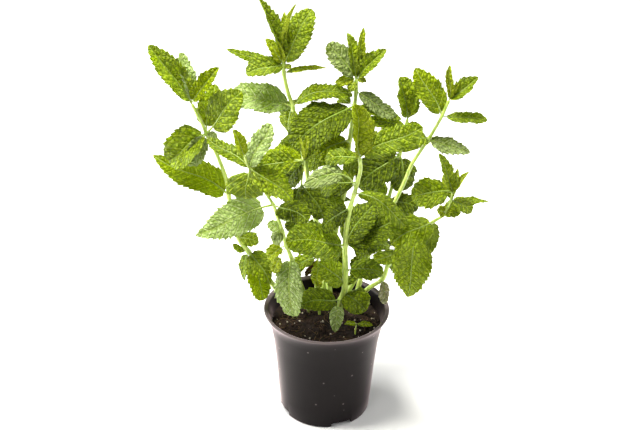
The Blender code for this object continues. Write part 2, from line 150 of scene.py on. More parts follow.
# camera, light and floor
view = dict(
    lens=85, sensor=36, roll=1.03, elevation=29.92, distance=1.219,  # mm, mm, degrees, degrees, metres
    target=(0.0001, -0.006, 0.1858), nearest=0.01,
)
light = dict(
    worldStrength=0.2, worldColour="#ffffff", aim=(0, 0, 0.16),
    softboxes=dict(  # place in metres, size, watts, colour
        top=((-0.3, -0.05, 1.45), 0.5, 50, "#fffdf6"),
        front=((-0.55, -1.2, 0.9), 0.6, 4, "#ffffff"),
        right=((1.1, 0.15, 0.35), 0.8, 12, "#ffffff"),
        left=((-1.0, 0.25, 0.3), 0.8, 26, "#ffffff"),
    ),
)
ground = dict(size=6, colour="#f3f3f1", roughness=0.85, specular=0.2)


def makeCamera():
    tilt, roll = math.radians(view["elevation"]), math.radians(view["roll"])
    forward = Vector((0, math.cos(tilt), -math.sin(tilt)))
    right = Vector((1, 0, 0))
    up = right.cross(forward)
    across = right * math.cos(roll) + up * math.sin(roll)
    upwards = up * math.cos(roll) - right * math.sin(roll)
    place = Vector(view["target"]) - forward * view["distance"]
    turn = Matrix((across, upwards, -forward)).transposed().to_4x4()
    bpy.ops.object.camera_add()
    camera = added("camera")
    camera.matrix_world = Matrix.Translation(place) @ turn
    camera.data.lens = view["lens"]
    camera.data.sensor_width = view["sensor"]
    camera.data.clip_start = view["nearest"]
    bpy.context.scene.camera = camera


def makeLights():
    world = bpy.data.worlds.new("white studio")
    world.use_nodes = True
    sky = {"Color": linear(light["worldColour"]), "Strength": light["worldStrength"]}
    setInputs(world.node_tree, world.node_tree.nodes["Background"], sky)
    bpy.context.scene.world = world
    for name, (place, size, watts, colour) in light["softboxes"].items():
        aim = Vector(light["aim"]) - Vector(place)
        turn = aim.to_track_quat("-Z", "Y").to_euler()
        bpy.ops.object.light_add(type="AREA", location=place, rotation=turn)
        lamp = added(name + " softbox")
        lamp.data.size = size
        lamp.data.energy = watts
        lamp.data.color = linear(colour)[:3]


def makeFloor():
    # painted studio floor: white, even and matt, so that only the pot's soft shadow shows on it
    bpy.ops.mesh.primitive_plane_add(size=ground["size"])
    floor = added("studioFloor")
    material, tree, shader = newMaterial("painted white studio floor")
    setInputs(tree, shader, {
        "Base Color": linear(ground["colour"]), "Roughness": ground["roughness"],
        "Specular IOR Level": ground["specular"],
    })
    floor.data.materials.append(material)


bpy.context.scene.view_settings.view_transform = "Standard"
makeCamera()
makeLights()
makeFloor()
print("camera, lights and floor made")


# pot
pot = dict(
    wall=[  # (radius, height) in mm from the foot ring's inner edge, up the outside, over the lip and down
        (35.3, 0.5), (35.8, 0), (37.0, 0), (37.3, 0.4), (37.9, 1.8), (39.2, 16), (41.4, 43.5), (42.6, 55),
        (43.7, 65), (44.7, 72), (45.9, 78), (47.0, 83.6), (48.3, 88.4), (50.2, 92.4), (51.8, 95.0),
        (52.4, 95.8), (52.5, 96.3), (52.2, 96.8), (51.4, 96.9), (50.2, 96.5), (49.3, 95.8), (48.6, 94.2),
        (47.2, 90.2), (46.1, 85.4), (44.7, 78), (43.6, 71.5), (42.5, 65), (40.2, 43.5), (37.4, 8.0),
        (36.4, 6.4), (34.6, 6.2), (0, 6.2),
    ],
    centreRadius=0.01,  # mm, of a ring that is merged to a point
    floorUnderside=5.0,
    segments=160,
    angles=(-67, 23, 113, 203),  # degrees, of the foot's notches and of the outer drain holes
    notch=(8, 18.5, 8.8, 1.6),  # mm through the wall, along it, high, and its corners' radius
    notchCircle=37.2, drainCircle=27, drainRadius=4, drainDepth=12,
    blacks=("#070405", "#120c0d"), specksAndHighlight="#9a8c8c", roughness=(0.34, 0.44),
    lip=(94.5, 96.0, 0.35),  # mm where the painted highlight on the lip begins and is full, and how pale it is
)


def potMaterial():
    # black polypropylene, thermoformed: near black face on, a soft broad gloss towards the edges
    material, tree, shader = newMaterial("thermoformed black polypropylene")
    place = addNode(tree, "TexCoord", {}, "Object")
    height = addNode(tree, "SeparateXYZ", [place], "Z")
    stretched = addNode(tree, "Mapping", {"Vector": place, "Scale": (1, 1, 0.25)})
    haze = addNode(tree, "TexNoise", {"Vector": stretched, "Scale": 45, "Detail": 4})  # clouds 22 mm wide
    fine = addNode(tree, "TexNoise", {"Vector": place, "Scale": 900, "Detail": 3})  # a grain of 1 mm
    # dried water specks, one to 8 mm at most
    toSpeck, speckColour = addNode(tree, "TexVoronoi", {"Vector": place, "Scale": 130}).node.outputs[:2]
    speck = addNode(tree, "MapRange", [toSpeck, 0.07, 0.13, 1, 0])
    picked = addNode(tree, "SeparateColor", [speckColour])
    chosen = addNode(tree, "Math", [picked, 0.7], operation="GREATER_THAN")
    drop = addNode(tree, "Math", [speck, chosen], operation="MULTIPLY")
    # painted highlight: the lip is paled all round towards the speck colour, standing in for a highlight line
    # along the rim
    lipFrom, lipTo, lipHighlightShare = pot["lip"]
    lip = addNode(tree, "MapRange", [height, lipFrom * mm, lipTo * mm, 0, lipHighlightShare])
    specksAndLipHighlight = addNode(tree, "Math", [drop, 0.22, lip], operation="MULTIPLY_ADD")
    base, hazy = (linear(colour) for colour in pot["blacks"])
    for share, colour in ((haze, hazy), (specksAndLipHighlight, linear(pot["specksAndHighlight"]))):
        base = addNode(tree, "Mix", {0: share, 6: base, 7: colour}, 2, data_type="RGBA")
    rough = addNode(tree, "MapRange", [haze, 0.3, 0.7, *pot["roughness"]])
    relief = addNode(tree, "Math", [fine, 0.12, drop], operation="MULTIPLY_ADD")
    bump = addNode(tree, "Bump", {"Height": relief, "Strength": 0.35, "Distance": 0.4 * mm})
    setInputs(tree, shader, {
        "Base Color": base, "Roughness": rough, "IOR": 1.45, "Specular IOR Level": 0.1, "Normal": bump,
        "Sheen Weight": 0.95, "Sheen Roughness": 0.25, "Sheen Tint": linear("#ffe6ea"),
    })
    return material


def makePot():
    # a ring of edges is extruded up the outside, over the lip, down the inside and across the floor
    lowRadius, lowHeight = radius, height = pot["wall"][0]
    bpy.ops.mesh.primitive_circle_add(
        vertices=pot["segments"], radius=radius * mm, location=potAxis * mm + Vector((0, 0, height * mm))
    )
    shell = added("nurseryPot")
    toMode("EDIT", "SELECT")
    centre = tuple(potAxis * mm)
    for nextRadius, nextHeight in pot["wall"][1:]:
        nextRadius = max(nextRadius, pot["centreRadius"])
        bpy.ops.mesh.extrude_region_move(TRANSFORM_OT_translate={"value": (0, 0, (nextHeight - height) * mm)})
        share = nextRadius / radius
        bpy.ops.transform.resize(value=(share, share, 1), center_override=centre)
        radius, height = nextRadius, nextHeight
    bpy.ops.mesh.merge(type="CENTER")
    toMode("OBJECT")
    # the underside closes the foot ring's inner edge, which is found by its place
    points = pointsOf(shell)
    across = np.hypot(points[:, 0], points[:, 1])
    near = 0.05 * mm
    first = (np.abs(across - lowRadius * mm) < near) & (np.abs(points[:, 2]) < near)
    for vertex, chosen in zip(shell.data.vertices, first):
        vertex.select = bool(chosen)
    toMode("EDIT")
    bpy.ops.mesh.select_mode(type="VERT")
    for rise in ((pot["floorUnderside"] - lowHeight) * mm, 0):
        bpy.ops.mesh.extrude_region_move(TRANSFORM_OT_translate={"value": (0, 0, rise)})
    bpy.ops.mesh.merge(type="CENTER")
    bpy.ops.mesh.select_all(action="SELECT")
    bpy.ops.mesh.remove_doubles(threshold=0.01 * mm)
    bpy.ops.mesh.normals_make_consistent(inside=False)
    toMode("OBJECT")
    return settle(shell)


def placeAround(angle, radius):  # in mm, on a circle about the pot's axis
    turn = math.radians(angle)
    return potAxis + Vector((math.cos(turn), math.sin(turn), 0)) * radius


def cutFrom(obj, cutters):
    for cutter in cutters:
        knife = obj.modifiers.new("cut", "BOOLEAN")
        knife.operation = "DIFFERENCE"
        knife.object = cutter
        makeActive(obj)
        bpy.ops.object.modifier_apply(modifier=knife.name)
        bpy.data.objects.remove(cutter)


def cutFoot(shell):
    cutters = []
    *size, corner = (value * mm for value in pot["notch"])
    for angle in pot["angles"]:
        middle = placeAround(angle, pot["notchCircle"]) * mm
        bpy.ops.mesh.primitive_cube_add(size=1, location=middle, rotation=(0, 0, math.radians(angle)))
        block = added("notchBlock")
        block.scale = size
        bpy.ops.object.transform_apply(location=False, rotation=False, scale=True)
        toMode("EDIT", "SELECT")
        bpy.ops.mesh.bevel(offset=corner, segments=4, affect="EDGES")
        toMode("OBJECT")
        cutters.append(block)
    for middle in [potAxis] + [placeAround(angle, pot["drainCircle"]) for angle in pot["angles"]]:
        bpy.ops.mesh.primitive_cylinder_add(
            vertices=32, radius=pot["drainRadius"] * mm, depth=pot["drainDepth"] * mm, location=middle * mm
        )
        cutters.append(added("drain"))
    cutFrom(shell, cutters)


nurseryPot = makePot()
cutFoot(nurseryPot)
nurseryPot.data.materials.append(potMaterial())
makeActive(nurseryPot)
bpy.ops.object.shade_smooth_by_angle(angle=math.radians(40))
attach(nurseryPot, "root")
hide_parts("pot")
print("pot made:", len(nurseryPot.data.polygons), "faces")


# soil
soil = dict(
    level=84.0, crown=2.0,  # mm, as packed: at the wall, and how much higher the middle is
    radius=45.2, skirt=14.0, skirtTaper=0.955,
    rings=90, spokes=220,
    swells=((24, 0.9), (9, 0.8), (3.2, 0.7), (1.4, 0.35)),  # (width, height) of the lumps in mm
    crumbs=620, crumbSize=(0.9, 2.6), grains=60, grainSize=(1.1, 2.6), scatterCircle=44.0,
    fibres=110, fibreLength=(4, 11), fibreRadius=0.16, fibreBend=2.2, fibreRise=(0.6, 0.5),
    fibreCircle=41, fibreEnds=44.5,  # mm from the axis: where their middles and their ends stay
    finishes=(  # name, darkest and lightest colour, roughness
        ("damp sphagnum peat", "#120c09", "#3a2a20", 0.9),  # nearly black, matt
        ("crumbled peat", "#1a110c", "#4b382b", 0.95),  # drier on top, so a little paler
        ("perlite and pale grit", "#a89a82", "#e6dfcd", 0.7),  # pale angular grains that stand out
        ("peat fibre", "#4a3524", "#8a6f4e", 0.8),  # straw-brown threads
    ),
    seed=11,
)
fullTurn = 6.28  # radians


def soilHeight(x, y):  # mm, about the pot's axis
    return soil["level"] + soil["crown"] * (1 - (x * x + y * y) / soil["radius"] ** 2)


def valueNoise(x, y, width, seed):  # smooth random field from -1 to 1, its features a width apart
    table = np.random.default_rng(seed).uniform(-1, 1, (64, 64))
    column, row = np.asarray(x) / width + 1000, np.asarray(y) / width + 1000
    left, low = np.floor(column).astype(int), np.floor(row).astype(int)
    across, along = smoothStep(column - left, 0, 1), smoothStep(row - low, 0, 1)
    corners = [table[(left + i) % 64, (low + j) % 64] for j in (0, 1) for i in (0, 1)]
    bottom = corners[0] * (1 - across) + corners[1] * across
    top = corners[2] * (1 - across) + corners[3] * across
    return bottom * (1 - along) + top * along


def peatMaterial(name, dark, light, roughness):
    # sphagnum peat, damp: nearly black with brown fibre, matt, mottled over 6 mm and grained under 1 mm
    material, tree, shader = newMaterial(name)
    place = addNode(tree, "TexCoord", {}, "Object")
    patches = addNode(tree, "TexNoise", {"Vector": place, "Scale": 160, "Detail": 6, "Roughness": 0.7})
    colour = addNode(tree, "ValToRGB", [patches])
    for stop, share, shade in zip(colour.node.color_ramp.elements, (0.35, 0.75), (dark, light)):
        stop.position, stop.color = share, linear(shade)
    fine = addNode(tree, "TexNoise", {"Vector": place, "Scale": 1400, "Detail": 4})
    bump = addNode(tree, "Bump", {"Height": fine, "Strength": 0.8, "Distance": 0.8 * mm})
    setInputs(tree, shader, {
        "Base Color": colour, "Roughness": roughness, "Specular IOR Level": 0.25, "Normal": bump,
    })
    return material


def makeSoilBody():
    # a disc of rings and spokes, lumpy on top, with a skirt down the wall
    bpy.ops.mesh.primitive_grid_add(x_subdivisions=soil["spokes"], y_subdivisions=soil["rings"], size=2)
    body = added("soilBody")
    points = pointsOf(body)
    turn, share = (points[:, 0] + 1) * math.pi, (points[:, 1] + 1) / 2
    radius = soil["radius"] * share**0.8
    x, y = radius * np.cos(turn), radius * np.sin(turn)
    z = soilHeight(x, y)
    for number, (width, height) in enumerate(soil["swells"]):
        z = z + height * valueNoise(x, y, width, soil["seed"] + number) * smoothStep(share, 1.0, 0.93)
    setPoints(body, np.stack([x, y, z], 1) * mm)
    toMode("EDIT", "SELECT")
    bpy.ops.mesh.remove_doubles(threshold=0.02 * mm)
    bpy.ops.mesh.select_all(action="DESELECT")
    bpy.ops.mesh.select_non_manifold()
    bpy.ops.mesh.extrude_region_move(TRANSFORM_OT_translate={"value": (0, 0, -soil["skirt"] * mm)})
    bpy.ops.transform.resize(value=(soil["skirtTaper"], soil["skirtTaper"], 1), center_override=(0, 0, 0))
    bpy.ops.mesh.edge_face_add()
    bpy.ops.mesh.select_all(action="SELECT")
    bpy.ops.mesh.normals_make_consistent(inside=False)
    toMode("OBJECT")
    body.location = potAxis * mm
    return settle(body)


def scattered(model, count, sizes, dice, material, sink=0.25):
    # copies of one model, each with its own mesh, turned, sized and half sunk in the soil
    made = []
    for _ in range(count):
        copy = copyOf(model, "crumb")
        radius = soil["scatterCircle"] * math.sqrt(dice.random())
        angle = dice.uniform(0, 2 * math.pi)
        size = dice.uniform(*sizes)
        x, y = radius * math.cos(angle), radius * math.sin(angle)
        copy.rotation_euler = [dice.uniform(0, fullTurn) for _ in range(3)]
        copy.scale = [size / 2 * dice.uniform(0.7, 1.1) * mm for _ in range(3)]
        copy.location = (Vector((x, y, soilHeight(x, y) + size * sink)) + potAxis) * mm
        copy.data.materials.append(material)
        made.append(copy)
    return made


def makeCrumbModel():
    bpy.ops.mesh.primitive_ico_sphere_add(subdivisions=1, radius=1)
    crumb = added("crumbModel")
    points = pointsOf(crumb)
    dice = np.random.default_rng(soil["seed"])
    setPoints(crumb, points * dice.uniform(0.72, 1.15, (len(points), 1)))
    return crumb


def makeFibreModel():
    bpy.ops.mesh.primitive_cylinder_add(vertices=5, radius=1, depth=2)
    fibre = added("fibreModel")
    toMode("EDIT")
    for height in (-0.6, -0.2, 0.2, 0.6):
        bpy.ops.mesh.select_all(action="SELECT")
        bpy.ops.mesh.bisect(plane_co=(0, 0, height), plane_no=(0, 0, 1))
    toMode("OBJECT")
    return fibre


def makeFibres(model, dice, material):
    made = []
    for _ in range(soil["fibres"]):
        copy = copyOf(model, "fibre")
        points = pointsOf(copy)
        length, bend = dice.uniform(*soil["fibreLength"]), dice.uniform(-soil["fibreBend"], soil["fibreBend"])
        lift, arch = soil["fibreRise"]
        along = points[:, 2] * length / 2
        side = points[:, 0] * soil["fibreRadius"] + bend * (points[:, 2] ** 2 - 0.5)
        rise = points[:, 1] * soil["fibreRadius"] + arch * (1 - points[:, 2] ** 2)
        turn = dice.uniform(0, fullTurn)
        radius = soil["fibreCircle"] * math.sqrt(dice.random())
        angle = dice.uniform(0, fullTurn)
        x = radius * math.cos(angle) + along * math.cos(turn) - side * math.sin(turn)
        y = radius * math.sin(angle) + along * math.sin(turn) + side * math.cos(turn)
        inside = np.minimum(1, soil["fibreEnds"] / np.maximum(np.hypot(x, y), 1))
        x, y = x * inside, y * inside
        z = soilHeight(x, y) + lift + rise
        setPoints(copy, (np.stack([x, y, z], 1) + np.array(potAxis)) * mm)
        copy.data.materials.append(material)
        made.append(copy)
    return made


def makeSoil():
    dice = random.Random(soil["seed"])
    peat, crumbly, grit, straw = (peatMaterial(*finish) for finish in soil["finishes"])
    body = makeSoilBody()
    body.data.materials.append(peat)
    crumb, fibre = makeCrumbModel(), makeFibreModel()
    pieces = [body]
    pieces += scattered(crumb, soil["crumbs"], soil["crumbSize"], dice, crumbly)
    pieces += scattered(crumb, soil["grains"], soil["grainSize"], dice, grit, sink=0.5)
    pieces += makeFibres(fibre, dice, straw)
    made = joined(pieces, "peatSoil")
    for model in (crumb, fibre):
        bpy.data.objects.remove(model)
    makeActive(made)
    bpy.ops.object.shade_smooth()
    return settle(made)


peatSoil = makeSoil()
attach(peatSoil, "root")
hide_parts("soil")
print("soil made:", len(peatSoil.data.polygons), "faces")


# mint
blade = dict(
    thickness=0.38, tipHalfWidth=0.12,  # mm
    outlines=dict(oval=(0.5, 0.65), heart=(0.4, 0.85), blunt=(0.42, 0.45), round=(0.5, 0.5)),  # rise and fall
    toothEvery=4.0, toothHeight=1.7, toothLean=1.1, mostTeeth=14,  # mm, but the lean is a share of the height
    toothZone=0.72, toothSpread=(0.55, 1.3),  # share of the half width where teeth begin, and how they vary
    quilt=0.65, groove=0.9, wave=0.045, waveTurns=13, ripple=0.9, droop=1.8,  # mm, but wave is a share
    baseFold=8, twist=12, bow=0.035, tipCurl=0.07,  # degrees, and shares of the length
    veinEvery=6.6, veinSlant=0.75, veinCurve=0.012,  # mm between side veins, and how they run out
    cellEvery=3.1, cellScale=0.32,  # mm between the small cross veins, and domes to a mm in the material
    fullQuilt=26, fullTeeth=18, fullRib=28,  # mm wide; a narrower leaf has finer quilting, teeth and rib
    grids=((34, 34, 4), (20, 26, 4), (9, 16, 3), (0, 8, 2)),  # (mm longer than, columns, rows to a tooth)
    toneSpread=0.12, through=0.36,  # how leaves vary, and the share of light that comes through
    faces=dict(  # painted shade in furrows, colour on veins, roughness, specular, relief of veins and furrows
        upper=(0.65, 0.7, 0.32, 0.16, -0.4, -0.5),
        lower=(0.15, 0.8, 0.6, 0.08, 0.6, 0.3),
    ),
    seed=5,
)
stem = dict(
    sides=16, ringsPerMm=0.55, corner=0.10, nodeSwell=0.22, nodeLength=2.4,
    ribSides=6, ribRings=20, ribEnd=0.97,
    streaks=("#84a01e", "#bccc62"), ribGreen="#6c8410",
)
leanHeight = 200.0  # mm; how shoots lean along the line of sight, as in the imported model
uprightTo = 88.0
stemBottom = 72.0
eye = Vector((-6.9, -1056.6, 793.8))  # mm; the camera's place, from the pot's axis


# A leaf is (joint along the path, x, y, z reach of its tip, width, arch, fold, turn, stalk, look), in mm and
# degrees. The look is a finish and, unless oval, an outline; tone, quilting and teeth follow if they differ
# a leaf's tone is partly its own lightness and partly painted light and painted shade for how brightly it is
# lit
shoots = {}
shoots["farLeftShoot"] = dict(
    node="shoot_far_left", thick=(4.6, 2.4), foot=(-28, 4), lean=15,
    path=[
        (-48, 2, 122), (-65, -1, 151), (-73, -3, 166), (-79, -6, 200), (-80, -6, 206), (-81, -8, 220),
        (-86, -10, 238), (-91, -11, 252), (-96, -11, 263), (-100, -11, 274), (-107, -11, 289),
    ],
    leaves=[
        (11, -31, 6, 45, 24, 2, 25, -45, 3, "mid"), (11, -8, 14, 36, 14, 2, 20, 5, 3, "pale blunt"),
        (11, 21, -4, 32, 16, 1, 20, 60, 3, "lit", 0.4), (9, 6, 16, 35, 22, 3, 10, 5, 6, "lit", -0.2),
        (9, 27, -6, 39, 30, 3, 5, 70, 9, "mid", 0.15),
        (9, -30, -8, -20, 32, 3, 18, -45, 3, "mid round", -0.1, 1.2),
        (9, 9, -3, -2, 8, 1, 0, 30, 1, "pale"), (5, -59, 5, 33, 29, 3, 5, -40, 4, "lit heart", -0.2),
        (5, 6, 10, 2, 6, 2, 0, 15, 2, "mid"), (3, 17, -4, -3, 14, 2, 0, 35, 2, "mid blunt", -0.2),
        (2, -12, -4, 9, 7, -4, 10, -45, 2, "mid"), (2, 19, -12, -24, 23, 4, 0, 20, 3, "mid heart"),
        (2, 13, -12, -40, 21, 5, 0, 15, 4, "lit blunt", 0.3), (2, -5, -4, -26, 12, 2, 0, -5, 3, "mid"),
        (9, -16, -10, -23, 18, 3, 0, -80, 3, "grey blunt"),
    ],
)
shoots["leftShoot"] = dict(
    node="shoot_left", thick=(4.2, 1.8), foot=(-15, 11), lean=-40,
    path=[
        (-30, -1, 146), (-34, -4, 159), (-37, -8, 175), (-41, -12, 191), (-44, -15, 203),
        (-49, -17, 213), (-62, -22, 239), (-66, -24, 251),
    ],
    leaves=[
        (8, -8, -3, 24, 11, 1, 20, -70, 1, "young"), (8, -1, 4, 9, 4, 0, 20, 0, 1, "young"),
        (7, 16, 4, 37, 19, 2, 10, 40, 2, "pale blunt"), (7, -35, 28, 12, 15, 2, 10, -20, 2, "mid", -0.4),
        (7, 34, -10, -22, 23, 4, 0, 30, 2, "mid", 0.15),
        (7, -3, -8, -23, 32, 4, 0, -5, 3, "mid round", -0.2),
        (5, -61, -18, -19, 30, 5, 5, -45, 9, "pale heart", 0, 1.3),
        (5, 28, -26, 1, 21, 4, 0, 25, 8, "deep blunt"), (3, -12, -3, 8, 11, 1, 0, -40, 2, "pale blunt"),
        (4, 10, 3, -6, 5, 1, 0, 40, 1, "pale"), (3, -7, -4, -10, 12, 2, 0, -25, 1, "grey round", -0.3),
        (2, -15, -6, -9, 14, 2, 15, -25, 4, "young blunt"),
        (2, -10, -5, -24, 11, 2, 0, -30, 11, "young round"),
        (1, 3, -26, -41, 25, 8, 8, 25, 3, "pale blunt", 0.5),
    ],
)
shoots["tallestShoot"] = dict(
    node="shoot_tallest", thick=(4.8, 2.6), foot=(3, 18), lean=36,
    path=[
        (1, 18, 112), (-6, 17, 152), (-14, 18, 189), (-20, 19, 226), (-26, 19, 252), (-30, 19, 273),
        (-34, 18, 287), (-37, 17, 303), (-37, 17, 310), (-37, 17, 317),
    ],
    leaves=[
        (10, -19, 0, 47, 19, 1, 45, -50, 3, "mid", 0.5), (10, 0, 8, 33, 8, 1, 30, 0, 2, "young"),
        (10, 6, -3, 45, 9, 1, 40, 20, 2, "young"), (9, 20, 8, 43, 25, 3, 5, 45, 3, "mid round", 0, 1.3),
        (9, -14, 4, 20, 11, 1, 10, -35, 2, "young", 0.4), (9, -5, -4, 22, 7, 1, 20, -20, 2, "young"),
        (9, -29, -8, -4, 20, 2, 15, -35, 2, "mid blunt", -0.2),
        (9, -45, 10, 8, 10, -2, 0, -35, 4, "mid", -0.3), (8, 33, 6, 3, 7, 2, 0, 15, 2, "young", 0.5),
        (9, 6, -4, -2, 6, 1, 0, 20, 1, "mid"), (6, -51, 5, 8, 28, 4, 5, -35, 5, "pale blunt", -0.1, 1.1),
        (6, -3, 7, -29, 28, 3, 0, -105, 2, "lit heart", -0.1), (6, -16, 5, -5, 8, 2, 0, -40, 1, "pale"),
        (6, 47, 10, 9, 17, 11, 0, 25, 4, "mid blunt"), (6, -5, 32, -14, 22, 4, 0, 0, 4, "mid"),
        (9, 4, 24, 6, 16, 3, 0, 0, 3, "mid"), (4, -10, 36, 7, 28, 4, 0, -15, 4, "mid blunt"),
        (3, 28, 38, -16, 26, 5, 0, 15, 4, "deep blunt"), (2, -20, 34, -12, 29, 5, 0, -20, 4, "deep blunt"),
        (3, 28, -4, -8, 24, 4, 0, 30, 3, "mid blunt", 0.2),
    ],
)
shoots["backShoot"] = dict(
    node="shoot_back", thick=(4.6, 2.6), foot=(-5, 26), lean=28,
    path=[
        (5, 26, 146), (10, 27, 179), (14, 28, 198), (16, 30, 239), (19, 32, 268), (20, 32, 281),
        (20, 33, 292),
    ],
    leaves=[
        (7, -23, 6, 27, 21, 2, 5, -40, 3, "grey blunt", 0.2, 2.3),
        (7, -7, 8, 35, 14, 1, 30, -15, 2, "mid", 0.5), (7, 5, 10, 39, 9, 1, 20, 50, 2, "young"),
        (7, 22, -4, 27, 16, 2, 20, 55, 3, "mid"), (7, 5, 4, 20, 9, 1, 20, 0, 2, "deep"),
        (7, -17, -4, -2, 10, 1, 0, -40, 2, "young", 0.5), (7, 8, -4, -1, 7, 1, 0, 20, 1, "young"),
        (6, 32, -10, -16, 16, -1, 0, 25, 3, "grey blunt", -0.5), (5, 38, -8, -5, 14, 1, 0, 15, 3, "mid"),
        (5, -48, -29, -23, 39, 10, 0, -25, 5, "deep round", 0.3, 2.7),
        (4, -27, -12, -10, 28, 5, 0, -25, 3, "lit blunt", 0.4, 2.3),
        (5, -13, 23, -8, 11, 6, 0, -20, 4, "mid"), (4, 22, 24, -8, 24, 6, 0, 0, 4, "mid"),
        (3, -27, 22, -9, 28, 5, 0, -25, 3, "mid blunt"), (2, -8, 34, -28, 24, 5, 0, -85, 4, "deep blunt"),
        (7, -5, -8, -8, 9, 2, 0, -5, 3, "mid blunt"),
        (4, -41, 2, -26, 28, 4, 0, -35, 3, "mid blunt", 0.4, 1.3),
        (3, 8, 4, 29, 14, 3, 0, 30, 3, "mid blunt"), (1, 8, -4, -28, 14, 3, 0, 85, 3, "deep blunt"),
    ],
)
shoots["frontShoot"] = dict(
    node="shoot_front", thick=(5.0, 2.6), foot=(11, 7), lean=-38,
    path=[
        (12, 6, 101), (14, 4, 108), (15, 2, 118), (15, 0, 133), (14, -4, 160), (15, -9, 184),
        (17, -12, 200), (20, -14, 214), (22, -16, 225), (24, -19, 238), (23, -21, 250),
    ],
    leaves=[
        (11, -4, -6, 47, 26, 1, 40, -120, 2, "young blunt", 0, 1.3),
        (11, 10, 6, 22, 12, 1, 30, 20, 2, "deep"),
        (11, 47, -4, 29, 23, 3, 5, 45, 4, "mid blunt", -0.35, 2.0),
        (11, -27, 4, -5, 17, 3, 0, -25, 2, "mid blunt", -0.4),
        (8, -40, -8, 12, 18, 30, 0, -40, 22, "grey blunt", 0.1),
        (8, 42, -14, -22, 18, 9, 0, 20, 3, "mid blunt"),
        (5, 39, 8, 20, 32, 3, 5, 30, 5, "deep blunt", 0.2, 1.3),
        (5, 26, -5, -1, 16, 4, 0, 20, 5, "deep blunt", 0.1),
        (5, -47, -22, 16, 32, 5, 0, -40, 4, "mid blunt", -0.35, 2.3),
        (4, 31, -6, 3, 22, 5, 0, 25, 4, "mid blunt", -0.3),
        (3, -22, -6, 26, 23, 3, 0, -55, 3, "mid blunt", 0.1, 1.3), (3, 10, 4, 8, 9, 1, 0, 20, 1, "deep"),
        (1, -34, -26, 11, 23, 4, 8, -35, 8, "low round", 0, 1, 0.5),
        (2, 19, -14, -7, 25, 5, 0, 25, 2, "low round", 0.8, 1, 0.5),
        (1, -5, -37, -8, 12, 10, 0, 0, 18, "pale", 0.9, 0.4, 0.3),
        (5, 22, 10, 34, 28, 4, 0, 20, 3, "deep blunt", 0.1, 1.3),
        (5, 38, 16, -9, 16, 3, 0, 20, 3, "mid round", -0.2),
        (9, -29, 12, -12, 24, 4, 0, -35, 3, "deep blunt", -0.1),
        (7, -23, 10, -26, 21, 3, 0, -50, 3, "deep blunt", -0.1),
    ],
)
shoots["slenderShoot"] = dict(
    node="shoot_slender", thick=(2.4, 1.4), foot=(-6, 6), lean=-4,
    path=[(-14, 16, 143), (-19, 4, 187), (-22, -2, 214), (-20, -9, 240)],
    leaves=[
        (4, -3, -2, 22, 5, 0, 20, -10, 1, "young"), (4, 2, 3, 20, 6, 0, 20, 10, 1, "young"),
        (4, 8, 0, 6, 7, 1, 10, 20, 1, "deep"), (4, -42, -6, -3, 21, 1, 0, -35, 3, "mid blunt", -0.4, 1.3),
        (4, -14, 4, -25, 19, 3, 0, -60, 3, "deep blunt"), (3, -4, -4, -10, 5, 1, 0, 0, 1, "pale"),
        (3, 18, -12, -23, 24, 5, 0, 20, 3, "deep blunt", 0.25, 2.5),
        (4, -33, 8, -2, 22, 3, 0, -30, 3, "lit blunt"),
        (3, -5, -14, -19, 22, 5, 0, 5, 3, "deep blunt", 0.25, 2.3),
        (1, 24, 8, -10, 20, 3, 0, 30, 3, "deep blunt", 0.1),
        (2, -14, -4, -17, 18, 3, 0, -85, 3, "deep blunt"),
    ],
)
shoots["backRightShoot"] = dict(
    node="shoot_back_right", thick=(4.2, 2.2), foot=(15, 26), lean=28,
    path=[(36, 28, 136), (49, 30, 184), (57, 32, 225), (61, 33, 251), (62, 33, 258)],
    leaves=[
        (5, -7, 2, 35, 25, 1, 30, -45, 2, "mid blunt", 0.6, 2.3),
        (5, 9, 6, 31, 17, 1, 25, 20, 2, "mid blunt", 0, 2.3), (5, 8, -4, 12, 8, 1, 10, 30, 1, "young"),
        (4, 12, -6, 1, 9, 2, 0, 35, 2, "young"), (4, -12, 0, 0, 10, 1, 0, -20, 2, "young"),
        (3, -34, -16, -21, 32, 5, 0, -30, 3, "deep blunt", -0.2, 2.9),
        (3, 3, -8, -30, 25, 4, 0, -5, 3, "deep blunt", 0.1),
        (2, 25, -6, -4, 18, 4, 0, 35, 3, "deep blunt", -0.4),
        (4, -32, -4, 4, 17, 3, 0, -20, 3, "mid blunt", 0.1), (3, 16, 22, -2, 22, 5, 0, 0, 3, "mid"),
        (2, -19, 24, -6, 22, 5, 0, -20, 4, "mid"), (1, 16, 34, -11, 20, 5, 0, 10, 4, "deep"),
        (3, -27, 8, 0, 24, 3, 0, -30, 3, "deep blunt", 0.1),
        (2, 21, -4, -14, 26, 3, 0, 30, 3, "mid blunt", -0.3),
        (1, -16, -8, -13, 15, 3, 0, -75, 3, "deep blunt"),
    ],
)
shoots["farRightShoot"] = dict(
    node="shoot_far_right", thick=(4.2, 2.2), foot=(24, 22), lean=20,
    path=[
        (32, 20, 129), (43, 18, 162), (59, 14, 205), (65, 12, 225), (70, 11, 236), (78, 9, 252),
        (83, 8, 263), (87, 7, 273), (92, 6, 288),
    ],
    leaves=[
        (8, -21, 8, 37, 24, 2, 5, -40, 3, "lit"), (8, 36, 0, -1, 13, 0, 0, 20, 4, "mid blunt"),
        (9, -1, 3, 27, 8, 0, 30, -20, 1, "young"), (9, 21, 4, 18, 17, -2, 25, 35, 1, "mid"),
        (9, 7, 6, 12, 7, 1, 10, 0, 1, "young"), (6, 33, -6, -8, 17, -1, 0, 25, 2, "grey", 0.4),
        (6, -16, -10, 1, 16, 3, 0, -20, 2, "mid blunt", -0.4), (6, -4, 26, -20, 16, 4, 0, 0, 3, "mid"),
        (2, 34, 14, -2, 22, 4, 0, 0, 4, "mid"), (2, -19, -6, -24, 22, 3, 0, -20, 3, "deep blunt", 0.2),
    ],
)
